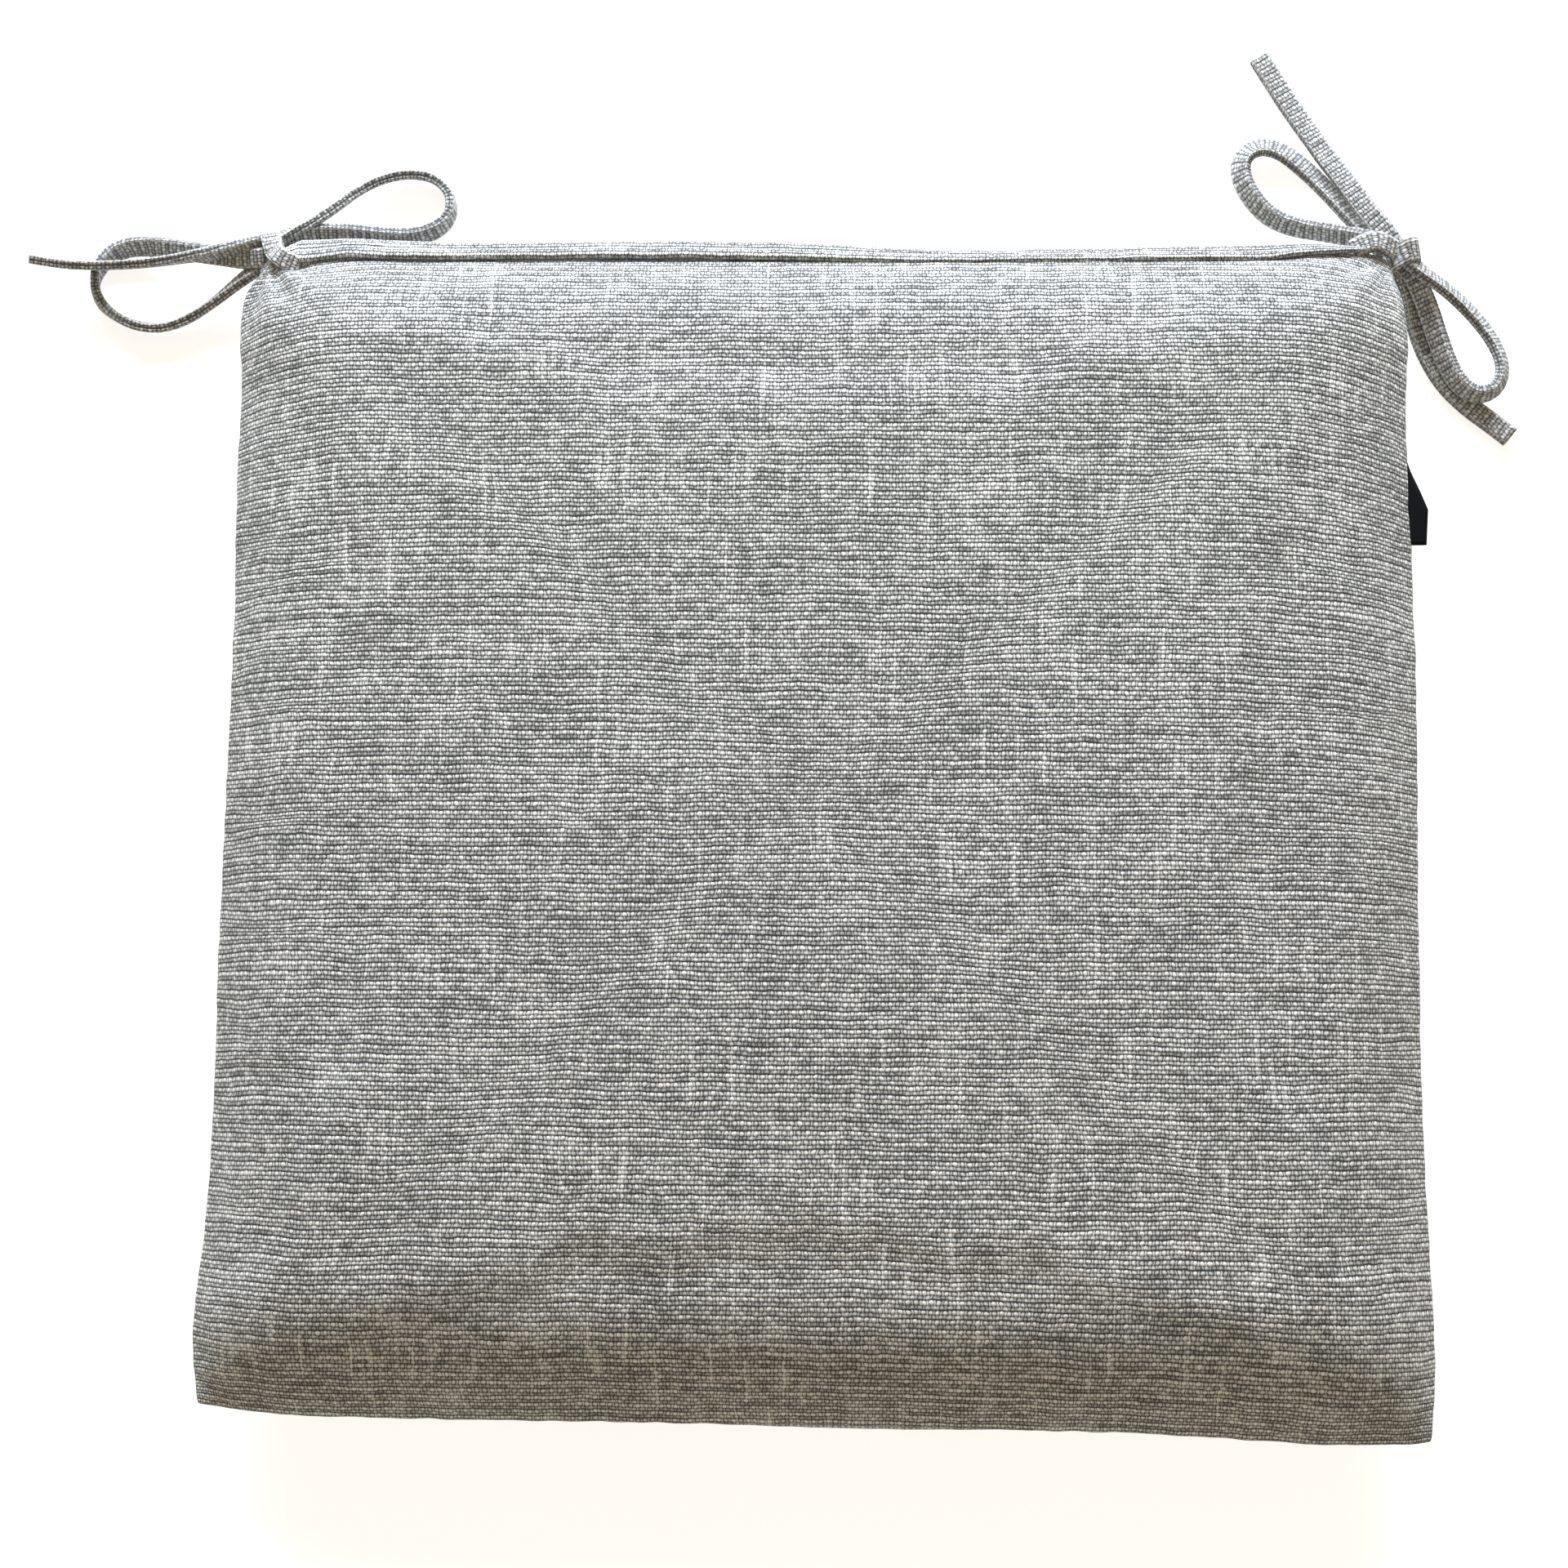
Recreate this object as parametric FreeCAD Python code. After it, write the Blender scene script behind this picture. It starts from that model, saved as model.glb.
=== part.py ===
import FreeCAD, Part
import math
import os

# Chair seat pad: a square, knife-edged, zipped fabric cover over a padded foam filling,
# with a lapped zip along the back edge, a folded side label and four tie tapes that are
# knotted into a bow at each back corner.
#
# Frame: millimetres. The origin is the centre of the flat underside, +Z is up, +Y points to
# the back edge with the zip and the ties, and +X points to the side with the label.

Vector = FreeCAD.Vector
UP = Vector(0, 0, 1)

# ---- Pad -----------------------------------------------------------------------------
pad_width = 400.0            # X, from seam to seam
pad_depth = 400.0            # Y, from seam to seam
pad_thickness = 40.0         # underside to the top of the crown
seam_height = 18.0           # underside to the edge seam
crown = 3.0                  # part of the rise that only the middle of the top has
belly = 1.5                  # how far the underside would bulge if nothing pressed it flat
edge_roll = 55.0             # distance in from the seam over which the faces roll over
roll_power = 2.5             # how sharply they roll
tuck_front = 2.5             # how far the front corners are drawn in
tuck_back_left = 10.0        # the back corners are gathered by the ties
tuck_back_right = 7.0
tuck_power = 12              # how close to the corner the tuck stays
net_size = 17                # control points along each side of a face

# ---- Layers, from the outside in -------------------------------------------------------
cover_thickness = 1.0        # woven cover fabric
liner_thickness = 0.5        # non-woven bag around the filling
wadding_thickness = 5.0      # polyester wadding wrapped round the foam
knife_factor = 1.5           # sideways thickness of a layer at the edge, per mm of layer

# ---- Zip --------------------------------------------------------------------------------
zip_margin = 38.0            # from each side of the pad to the end of the zip
zip_setback = 8.0            # from the back edge to the plane of the zip
zip_channel = 3.0            # free space behind the tapes, for the slider's back plate
tape_thickness = 0.7
tape_lap = 0.4               # share of the panel's cut edge that the tape covers
chain_gap = 0.6              # half of the slot between the two coils
coil_width = 1.8
coil_height = 1.4
flap_thickness = 1.6         # the cover's edge folded double over the zip
stop_length = 2.5
stop_cover = 0.4             # how far a stop's clip wraps past the coils
stop_gap = 0.5               # left between a stop and the slider, and past the tab's tip

# ---- Slider and its pull tab --------------------------------------------------------------
running_gap = 0.3
plate_thickness = 1.0
plate_rounding = 1.4         # in the plates' corners
slider_length = 9.0
slider_half_width = 3.7
back_plate_half_width = 3.0  # narrower, because it runs inside the cover's edge
flange_thickness = 0.8
post_length = 3.0
bridge_width = 1.6
bridge_thickness = 0.8
bridge_length = 6.8
crossbar_radius = 0.5
tab_length = 20.0
tab_half_width = 3.0
tab_window = 5.0             # from the hinge axis to the solid part of the tab
tab_arm = 0.9

# ---- Side label ---------------------------------------------------------------------------
label_length = 29.0          # along the seam
label_proud = 7.0            # how far it stands out of the seam
label_sewn = 1.4             # how much of it is held in the seam
label_ply = 0.5
label_fold_gap = 0.6
label_back_offset = 92.0     # from the back edge to the label's middle

# ---- Ties -----------------------------------------------------------------------------------
tie_diameter = 2.0           # round stand-in for the flat, folded tape
tie_root_width = 6.5
tie_root_thickness = 2.0
root_overlap = 0.8           # how far a tie's sewn end reaches into the seam

# Every tie's route, as points from the pad's back corner: X and Y from the corner that the
# two edges would make if they weren't tucked, Z from the underside. A route starts in the
# knot, goes round the bow's loop, back through the knot and out along the free end.
left_inner_route = [
    (4.0, -3.0, 13.0), (-4.0, -3.2, 10.6), (-12.5, -1.0, 8.6), (-22.0, 1.0, 7.0),
    (-32.0, 3.0, 5.6), (-42.0, 4.6, 4.4), (-51.0, 4.2, 3.8), (-58.0, -0.3, 3.6),
    (-61.3, -7.8, 3.6), (-59.3, -15.4, 3.6), (-53.0, -21.3, 3.6), (-44.5, -25.2, 3.6),
    (-35.0, -26.0, 3.6), (-25.6, -22.6, 4.0), (-16.5, -17.0, 5.4), (-8.0, -10.5, 7.2),
    (0.5, -4.5, 8.5), (9.5, -1.0, 7.6), (19.0, -2.2, 4.8), (29.5, -6.8, 2.6),
    (41.5, -10.3, 1.8), (54.5, -11.4, 1.5), (67.5, -10.2, 1.5), (79.5, -7.8, 1.5),
]
left_outer_route = [
    (5.0, 1.0, 15.5), (12.0, 5.5, 14.0), (19.0, 10.0, 11.5), (26.0, 16.5, 8.5),
    (33.0, 24.0, 5.8), (41.5, 29.6, 4.2), (51.5, 32.0, 3.7), (61.0, 30.3, 3.6),
    (67.0, 24.0, 3.6), (67.4, 15.6, 3.6), (61.0, 9.8, 3.6), (51.5, 7.6, 4.0),
    (40.5, 7.8, 5.6), (29.0, 8.0, 8.0), (17.5, 6.5, 10.3), (6.0, 3.0, 11.8),
    (-6.0, 0.5, 12.0), (-18.5, -1.4, 11.6), (-32.0, -3.6, 11.2), (-46.0, -5.0, 11.0),
    (-60.0, -5.2, 10.6), (-72.5, -3.8, 9.8), (-84.0, -1.0, 8.6),
]
right_inner_route = [
    (-1.0, -1.0, 14.0), (-8.0, 2.5, 12.5), (-15.5, 5.3, 9.5), (-24.0, 8.2, 6.5),
    (-34.0, 10.6, 4.6), (-42.5, 14.8, 4.0), (-48.5, 21.8, 4.0), (-52.2, 29.5, 4.0),
    (-52.0, 36.8, 4.0), (-46.0, 41.2, 4.0), (-38.5, 39.8, 4.0), (-31.5, 34.3, 4.0),
    (-23.5, 26.3, 4.0), (-15.8, 16.8, 4.5), (-9.5, 7.5, 7.0), (-3.0, -1.5, 9.5),
    (3.0, -9.0, 8.0), (6.6, -17.5, 4.5), (9.0, -27.0, 2.2), (13.0, -37.0, 1.6),
    (18.8, -46.5, 1.5), (26.5, -54.0, 1.5), (33.5, -59.3, 1.5), (39.7, -64.4, 1.5),
]
right_outer_route = [
    (1.0, -4.0, 15.5), (7.5, -9.5, 14.0), (14.5, -13.0, 11.5), (22.0, -18.0, 8.5),
    (29.0, -24.8, 6.6), (34.3, -32.5, 6.0), (37.0, -41.0, 6.0), (34.6, -48.6, 6.0),
    (27.5, -51.2, 6.0), (21.3, -47.0, 6.0), (17.3, -39.2, 6.2), (14.0, -29.5, 6.8),
    (10.6, -19.0, 8.2), (6.0, -9.5, 10.3), (0.3, -1.0, 11.5), (-4.5, 6.5, 12.5),
    (-10.5, 15.0, 11.0), (-15.8, 25.0, 8.6), (-21.8, 34.8, 6.0), (-28.0, 46.0, 4.0),
    (-34.8, 57.5, 2.6), (-40.5, 68.0, 2.0), (-44.9, 75.5, 1.8),
]
bend_share = 0.45            # share of a run that the arc at its end may use

# The knots: middle, from the same corners, half sizes, and turn about the vertical.
left_knot = {"middle": (4.5, -0.5, 13.5), "half": (3.6, 6.0, 4.4), "turn": -24.0}
right_knot = {"middle": (0.5, -3.0, 13.5), "half": (5.6, 4.2, 4.4), "turn": -12.0}
knot_rounding = 0.7          # share of the knot's smallest half size that its edges round off

# ---- Worked out from the sizes above ----------------------------------------------------------
half_width = pad_width / 2
half_depth = pad_depth / 2
zip_plane = half_depth - zip_setback
zip_half = half_width - zip_margin
tape_front = zip_plane + tape_thickness
coil_front = tape_front + coil_height
coil_edge = chain_gap + coil_width
plate_back = coil_front + running_gap
plate_front = plate_back + plate_thickness
hinge_y = plate_front + 2 * crossbar_radius
slider_closed = zip_half - stop_length - stop_gap - slider_length / 2
slider_open = -zip_half + stop_gap + tab_length
closed_stop = zip_half - stop_length
open_stop = slider_open - slider_length / 2 - stop_gap - stop_length
slider_travel = slider_closed - slider_open
reach = 4 * pad_width         # longer than anything here, for cutting tools


def block(low, high):
    """Box between two opposite corners."""
    size = Vector(*high) - Vector(*low)
    return Part.makeBox(size.x, size.y, size.z, Vector(*low))


def roll(distance):
    """Share of the full rise that a face has reached at a distance in from the seam."""
    left = max(0.0, 1.0 - max(0.0, distance) / edge_roll)
    return 1.0 - left ** roll_power


def tuck(u, v):
    """How far the corner of the quarter that (u, v) is in draws a point inwards."""
    if v < 0:
        size = tuck_front
    elif u < 0:
        size = tuck_back_left
    else:
        size = tuck_back_right
    return size * abs(u * v) ** tuck_power


def face_net(inset, rise, crown_rise):
    """Control points of one face: rise is signed, up for the top and down for the underside."""
    width = half_width - knife_factor * inset
    depth = half_depth - knife_factor * inset
    steps = [math.sin(math.pi / 2 * (2 * i / (net_size - 1) - 1)) for i in range(net_size)]
    net = []
    for u in steps:
        row = []
        for v in steps:
            drawn_in = tuck(u, v)
            x = u * width - math.copysign(drawn_in, u)
            y = v * depth - math.copysign(drawn_in, v)
            middle = crown_rise * (1 - u * u) * (1 - v * v)
            height = (rise + middle) * roll(width * (1 - abs(u))) * roll(depth * (1 - abs(v)))
            row.append(Vector(x, y, seam_height + height))
        net.append(row)
    return net


def spline_face(net):
    """Cubic surface through the ends of a square net of control points."""
    spans = net_size - 3
    knots = [float(i) for i in range(spans + 1)]
    repeats = [4] + [1] * (spans - 1) + [4]
    surface = Part.BSplineSurface()
    surface.buildFromPolesMultsKnots(net, repeats, repeats, knots, knots, False, False, 3, 3)
    return surface.toShape()


def closed_solid(faces):
    """Solid inside faces that meet along their outlines."""
    shell = Part.Shell(faces)
    shell.sewShape()
    solid = Part.Solid(shell)
    if solid.Volume < 0:
        solid.reverse()
    return solid


def half_pillow(net):
    """Solid between a face and the flat plane through its seam."""
    face = spline_face(net)
    outline = Part.Wire(Part.__sortEdges__(face.Edges))
    return closed_solid([face, Part.Face(outline)])


def top_form(inset):
    """Upper half of everything inside a layer that starts this deep."""
    rise = pad_thickness - seam_height - crown - inset
    return half_pillow(face_net(inset, rise, crown))


def bottom_form(inset):
    """Lower half of the same, pressed flat underneath."""
    bulging = half_pillow(face_net(inset, inset - seam_height - belly, 0.0))
    floor = block((-reach, -reach, -reach), (reach, reach, inset))
    return bulging.cut(floor)


def behind(plane, half):
    """Everything behind a plane across the zip, between two ends."""
    return block((-half, plane, -reach), (half, reach, reach))


def largest(shape):
    """The one solid that a cut is meant to leave."""
    return max(shape.Solids, key=lambda solid: solid.Volume)


def build_cover(form):
    """Cover panel: open behind the zip, closed by a small wall at each end of it."""
    inside = form(cover_thickness)
    for side in (-1, 1):
        ends = sorted((side * zip_half, side * (zip_half + cover_thickness)))
        wall = block((ends[0], zip_plane - cover_thickness, -reach), (ends[1], reach, reach))
        inside = inside.cut(wall)
    return largest(form(0.0).cut(inside).cut(behind(zip_plane, zip_half)))


def filling_cut(inset):
    """The filling stays clear of the zip: this is what is cut off it at a layer's depth."""
    deeper = inset - cover_thickness
    return behind(zip_plane - zip_channel - deeper, zip_half + cover_thickness + deeper)


def build_layer(form, start, thickness):
    """One layer of the filling, in its upper or lower half."""
    outer = form(start).cut(filling_cut(start))
    inner = form(start + thickness).cut(filling_cut(start + thickness))
    return largest(outer.cut(inner))


def build_foam(start):
    """Foam core, pressed thin at its edges by the cover."""
    rise = pad_thickness - seam_height - crown - start
    faces = [spline_face(face_net(start, rise, crown)),
             spline_face(face_net(start, start - seam_height - belly, 0.0))]
    core = closed_solid(faces)
    floor = block((-reach, -reach, -reach), (reach, reach, start))
    return largest(core.cut(floor).cut(filling_cut(start)))


def tape_height(panel):
    """Height above the seam that the tape reaches, partly up the panel's cut edge."""
    edge = [vertex.Z - seam_height for wire in panel.slice(Vector(1, 0, 0), 0.0)
            for vertex in wire.Vertexes if vertex.Y > zip_plane - running_gap]
    return min(edge) + tape_lap * (max(edge) - min(edge))


def build_flap(tape_top):
    """The top panel's folded edge, standing out over the zip."""
    low = seam_height + tape_top
    flap = block((-zip_half, zip_plane, low), (zip_half, half_depth, low + flap_thickness))
    outer_edges = [edge for edge in flap.Edges
                   if edge.Length > zip_half and edge.CenterOfMass.y > half_depth - running_gap]
    return flap.makeFillet(flap_thickness * 0.4, outer_edges)


def build_tape(side, tape_top):
    """Half of the zip's tape, from the chain to the panel's edge."""
    heights = sorted((seam_height + side * chain_gap, seam_height + side * tape_top))
    return block((-zip_half, zip_plane, heights[0]), (zip_half, tape_front, heights[1]))


def build_coil(side):
    """One coil of the zip, as a rounded bar on the tape's edge."""
    heights = sorted((seam_height + side * chain_gap, seam_height + side * coil_edge))
    bar = block((-zip_half, tape_front, heights[0]), (zip_half, coil_front, heights[1]))
    outer_edges = [edge for edge in bar.Edges
                   if edge.Length > zip_half and edge.CenterOfMass.y > coil_front - running_gap]
    return bar.makeFillet(coil_height * 0.35, outer_edges)


def build_stop(start):
    """Metal clip bent over both coils, stopping the slider."""
    half = coil_edge + stop_cover
    clip = block((start, tape_front, seam_height - half),
                 (start + stop_length, coil_front + stop_cover, seam_height + half))
    return clip.cut(build_coil(1)).cut(build_coil(-1))


def build_plate(middle, start, half_height):
    """One plate of the slider, with rounded corners."""
    half = slider_length / 2
    plate = block((middle - half, start, seam_height - half_height),
                  (middle + half, start + plate_thickness, seam_height + half_height))
    corners = [edge for edge in plate.Edges if abs(edge.Length - plate_thickness) < 1e-6]
    return plate.makeFillet(plate_rounding, corners)


def build_slider(middle):
    """Front and back plates joined by a post that runs in the slot between the coils."""
    front = build_plate(middle, plate_back, slider_half_width)
    back = build_plate(middle, zip_plane - running_gap - plate_thickness, back_plate_half_width)
    post_half = chain_gap - running_gap
    post = block((middle - post_length / 2, zip_plane - running_gap, seam_height - post_half),
                 (middle + post_length / 2, plate_back, seam_height + post_half))
    body = front.fuse(back).fuse(post)
    for side in (-1, 1):
        walls = sorted((seam_height + side * slider_half_width,
                        seam_height + side * (slider_half_width - flange_thickness)))
        flange_half = slider_length / 2 - plate_rounding
        body = body.fuse(block((middle - flange_half, tape_front + running_gap, walls[0]),
                               (middle + flange_half, plate_back, walls[1])))
    return body.fuse(build_bridge(middle)).removeSplitter()


def build_bridge(middle):
    """Arch on the slider that the pull tab's crossbar turns in."""
    half = bridge_length / 2
    under = hinge_y + crossbar_radius + running_gap
    low = seam_height - bridge_width / 2
    high = seam_height + bridge_width / 2
    arch = block((middle - half, plate_front, low),
                 (middle + half, under + bridge_thickness, high))
    window = block((middle - half + bridge_thickness, plate_front, low),
                   (middle + half - bridge_thickness, under, high))
    corners = [edge for edge in arch.Edges
               if abs(edge.Length - bridge_width) < 1e-6 and edge.CenterOfMass.y > under]
    return arch.makeFillet(bridge_thickness * 0.6, corners).cut(window)


def build_pull_tab(middle):
    """Pull tab, lying along the chain: crossbar, two arms and a flat tongue."""
    tab_low = hinge_y - crossbar_radius
    tab_high = hinge_y + crossbar_radius
    tongue = block((middle - tab_length, tab_low, seam_height - tab_half_width),
                   (middle - tab_window, tab_high, seam_height + tab_half_width))
    corners = [edge for edge in tongue.Edges
               if abs(edge.Length - 2 * crossbar_radius) < 1e-6
               and edge.CenterOfMass.x < middle - tab_window - tab_arm]
    tongue = tongue.makeFillet(tab_half_width * 0.6, corners)
    arm_low = bridge_width / 2 + running_gap
    bar = Part.makeCylinder(crossbar_radius, 2 * (arm_low + tab_arm),
                            Vector(middle, hinge_y, seam_height - arm_low - tab_arm), UP)
    tab = tongue.fuse(bar)
    for side in (-1, 1):
        heights = sorted((seam_height + side * arm_low, seam_height + side * (arm_low + tab_arm)))
        tab = tab.fuse(block((middle - tab_window, tab_low, heights[0]),
                             (middle, tab_high, heights[1])))
    return tab.removeSplitter()


def stadium(thickness, inner, outer, low, high):
    """Flat strip along X with one rounded end, run along Y."""
    radius = thickness / 2
    plate = block((inner, low, seam_height - radius), (outer - radius, high, seam_height + radius))
    nose = Part.makeCylinder(radius, high - low, Vector(outer - radius, low, seam_height),
                             Vector(0, 1, 0))
    return plate.fuse(nose).removeSplitter()


def build_label():
    """Woven label folded in two, with both ends held in the side seam."""
    middle = half_depth - label_back_offset
    low = middle - label_length / 2
    high = middle + label_length / 2
    inner = half_width - label_sewn
    outer = half_width + label_proud
    folded = stadium(2 * label_ply + label_fold_gap, inner, outer, low, high)
    hollow = stadium(label_fold_gap, inner, outer - label_ply, low, high)
    return folded.cut(hollow)


def from_corner(side, offset):
    """Point given from the left (-1) or right (1) back corner."""
    return Vector(side * half_width + offset[0], half_depth + offset[1], offset[2])


def build_tie(name, side, route):
    """Round tube along a route: straight runs joined by arcs as large as the runs allow."""
    points = [from_corner(side, offset) for offset in route]
    edges = []
    radii = []
    start = points[0]
    for before, corner, after in zip(points, points[1:], points[2:]):
        arriving = (corner - before).normalize()
        leaving = (after - corner).normalize()
        half_turn = arriving.getAngle(leaving) / 2
        setback = bend_share * min((corner - before).Length, (after - corner).Length)
        arc_start = corner - arriving * setback
        arc_end = corner + leaving * setback
        radius = setback / math.tan(half_turn)
        radii.append(radius)
        to_centre = (leaving - arriving).normalize()
        centre = corner + to_centre * (radius / math.cos(half_turn))
        arc_middle = centre - to_centre * radius
        edges.append(Part.LineSegment(start, arc_start).toShape())
        edges.append(Part.Arc(arc_start, arc_middle, arc_end).toShape())
        start = arc_end
    edges.append(Part.LineSegment(start, points[-1]).toShape())
    path = Part.Wire(edges)
    circle = Part.makeCircle(tie_diameter / 2, points[0], points[1] - points[0])
    tube = path.makePipeShell([Part.Wire(circle)], True, False)
    expected = math.pi * tie_diameter ** 2 / 4 * path.Length
    print(f"{name}: {path.Length:.1f} mm long, volume {tube.Volume / expected:.4f} of section "
          f"times length, radii {min(radii):.1f} to {max(radii):.1f} mm")
    return tube


def build_knot(side, knot):
    """Knot of a bow, as a rounded block."""
    half = Vector(*knot["half"])
    body = Part.makeBox(2 * half.x, 2 * half.y, 2 * half.z, half * -1)
    body = body.makeFillet(knot_rounding * min(half), body.Edges)
    body.rotate(Vector(0, 0, 0), UP, knot["turn"])
    body.translate(from_corner(side, knot["middle"]))
    return body


def build_tie_root(side, tuck_size, knot):
    """Sewn end of a pair of ties, from inside the corner seam to the knot."""
    inward = tuck_size + root_overlap
    start = from_corner(side, (-side * inward, -inward, seam_height))
    way = from_corner(side, knot["middle"]) - start
    strip = block((0, -tie_root_width / 2, -tie_root_thickness / 2),
                  (way.Length, tie_root_width / 2, tie_root_thickness / 2))
    flat = Vector(way.x, way.y, 0)
    strip.rotate(Vector(0, 0, 0), Vector(0, 1, 0), math.degrees(math.atan2(-way.z, flat.Length)))
    strip.rotate(Vector(0, 0, 0), UP, math.degrees(math.atan2(way.y, way.x)))
    strip.translate(start)
    return strip


def main():
    liner_start = cover_thickness
    wadding_start = liner_start + liner_thickness
    foam_start = wadding_start + wadding_thickness
    top_panel = build_cover(top_form)
    tape_top = tape_height(top_panel)
    nodes = {
        "cover_top_panel": top_panel,
        "cover_bottom_panel": build_cover(bottom_form),
        "liner_top": build_layer(top_form, liner_start, liner_thickness),
        "liner_bottom": build_layer(bottom_form, liner_start, liner_thickness),
        "wadding_top": build_layer(top_form, wadding_start, wadding_thickness),
        "wadding_bottom": build_layer(bottom_form, wadding_start, wadding_thickness),
        "foam_core": build_foam(foam_start),
        "zip_flap": build_flap(tape_top),
        "zip_tape_upper": build_tape(1, tape_top),
        "zip_tape_lower": build_tape(-1, tape_top),
        "zip_coil_upper": build_coil(1),
        "zip_coil_lower": build_coil(-1),
        "zip_stop_closed_end": build_stop(closed_stop),
        "zip_stop_open_end": build_stop(open_stop),
        "zip_slider": build_slider(slider_closed),
        "zip_pull_tab": build_pull_tab(slider_closed),
        "side_label": build_label(),
        "tie_root_left": build_tie_root(-1, tuck_back_left, left_knot),
        "tie_root_right": build_tie_root(1, tuck_back_right, right_knot),
        "knot_left": build_knot(-1, left_knot),
        "knot_right": build_knot(1, right_knot),
        "tie_left_inner": build_tie("tie_left_inner", -1, left_inner_route),
        "tie_left_outer": build_tie("tie_left_outer", -1, left_outer_route),
        "tie_right_inner": build_tie("tie_right_inner", 1, right_inner_route),
        "tie_right_outer": build_tie("tie_right_outer", 1, right_outer_route),
    }
    print(f"slider: middle at x {slider_closed:.2f}, travel {slider_travel:.2f} mm, "
          f"hinge at y {hinge_y:.2f}, z {seam_height:.2f}")
    os.makedirs("parts", exist_ok=True)
    for name, shape in nodes.items():
        box = shape.BoundBox
        print(f"{name}: valid {shape.isValid()}, {len(shape.Solids)} solid, {shape.Volume:.0f} mm3, "
              f"x {box.XMin:.1f} to {box.XMax:.1f}, y {box.YMin:.1f} to {box.YMax:.1f}, "
              f"z {box.ZMin:.1f} to {box.ZMax:.1f}")
        shape.exportStep(f"parts/{name}.step")


main()
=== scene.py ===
# %% [markdown]
# # Chair seat pad
# A square pad for a kitchen chair: a zipped cover of coarse woven cloth over a foam core, with a
# folded flap over the zip, a small label in the side seam and two pairs of tapes that are tied
# into bows. Rigid sizes come from the CAD model; this lesson adds the cloth, the folds, the tapes
# as they really lie, and the finish of every material.

# %% Load the CAD frame
import math
import bpy
import numpy as np
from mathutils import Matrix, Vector, noise


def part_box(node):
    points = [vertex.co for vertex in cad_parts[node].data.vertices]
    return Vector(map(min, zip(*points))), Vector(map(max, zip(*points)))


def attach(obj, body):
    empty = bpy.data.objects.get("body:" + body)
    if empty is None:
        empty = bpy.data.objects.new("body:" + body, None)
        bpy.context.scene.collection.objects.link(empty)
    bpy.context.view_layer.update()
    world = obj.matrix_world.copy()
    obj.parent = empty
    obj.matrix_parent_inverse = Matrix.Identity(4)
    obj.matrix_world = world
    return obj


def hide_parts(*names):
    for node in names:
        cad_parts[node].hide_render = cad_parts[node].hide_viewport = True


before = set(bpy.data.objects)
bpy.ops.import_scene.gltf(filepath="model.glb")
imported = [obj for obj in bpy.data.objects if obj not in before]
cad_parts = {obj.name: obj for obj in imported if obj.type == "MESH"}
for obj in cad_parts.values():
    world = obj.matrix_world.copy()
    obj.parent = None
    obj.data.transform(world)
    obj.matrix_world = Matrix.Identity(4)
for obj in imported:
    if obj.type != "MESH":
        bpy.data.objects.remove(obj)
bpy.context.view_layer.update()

# %% [markdown]
# ## Camera and light
# The pad lies on a table and is seen from almost straight above, a little from its front edge.
# Window light comes in low from behind, so it grazes the weave, makes the back shoulder bright
# and leaves the front shoulder to the warm light of the room.

# %% Camera
camera_data = bpy.data.cameras.new("camera")
camera_data.lens = 48.75
camera_data.sensor_width = 36
camera = bpy.data.objects.new("camera", camera_data)
camera.location = (0.0193, -0.0865, 0.7243)
camera.rotation_euler = [math.radians(angle) for angle in (7.79, 2.26, 0.82)]
bpy.context.collection.objects.link(camera)
bpy.context.scene.camera = camera
bpy.context.scene.view_settings.view_transform = "Standard"

# %% Window and room light
def to_linear(hex_colour):
    """sRGB hex to the linear colour that shaders expect."""
    parts = [int(hex_colour[i:i + 2], 16) / 255 for i in (1, 3, 5)]
    return [v / 12.92 if v <= 0.04045 else ((v + 0.055) / 1.055) ** 2.4 for v in parts] + [1.0]


def add_window(name, place, size, power, colour):
    """Soft rectangular light that faces the pad."""
    data = bpy.data.lights.new(name, "AREA")
    data.shape = "RECTANGLE"
    data.size, data.size_y = size
    data.energy = power
    data.color = to_linear(colour)[:3]
    lamp = bpy.data.objects.new(name, data)
    lamp.location = place
    lamp.rotation_euler = Vector(place).to_track_quat("Z", "Y").to_euler()
    bpy.context.collection.objects.link(lamp)


add_window("window_light", (-0.07, 1.44, 0.54), (1.9, 0.50), 72, "#EBF2FD")
add_window("room_light", (0.2, -0.6, 1.5), (1.6, 1.2), 3, "#FFE3C4")
world = bpy.data.worlds.new("room")
world.use_nodes = True
room = world.node_tree.nodes["Background"]
room.inputs["Color"].default_value = to_linear("#F6E5CC")
room.inputs["Strength"].default_value = 0.36
far_wall = world.node_tree.nodes.new("ShaderNodeBackground")
far_wall.inputs["Color"].default_value = to_linear("#F1F1EF")
seen = world.node_tree.nodes.new("ShaderNodeLightPath")
either = world.node_tree.nodes.new("ShaderNodeMixShader")
world.node_tree.links.new(seen.outputs["Is Camera Ray"], either.inputs[0])
world.node_tree.links.new(room.outputs[0], either.inputs[1])
world.node_tree.links.new(far_wall.outputs[0], either.inputs[2])
world.node_tree.links.new(either.outputs[0], world.node_tree.nodes["World Output"].inputs[0])
bpy.context.scene.world = world

# %% [markdown]
# ## Helpers for materials
# Every finish is built from nodes. One small function adds a node with its settings and its
# links, so that a material reads as a list of steps.

# %% Node helper
def add(tree, kind, links=None, **settings):
    """Add a node; links maps a socket's name or number to a value or to another node's output."""
    node = tree.nodes.new("ShaderNode" + kind)
    for name, value in settings.items():
        setattr(node, name, value)
    for socket, value in (links or {}).items():
        if isinstance(value, bpy.types.NodeSocket):
            tree.links.new(value, node.inputs[socket])
        else:
            node.inputs[socket].default_value = value
    return node


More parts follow.
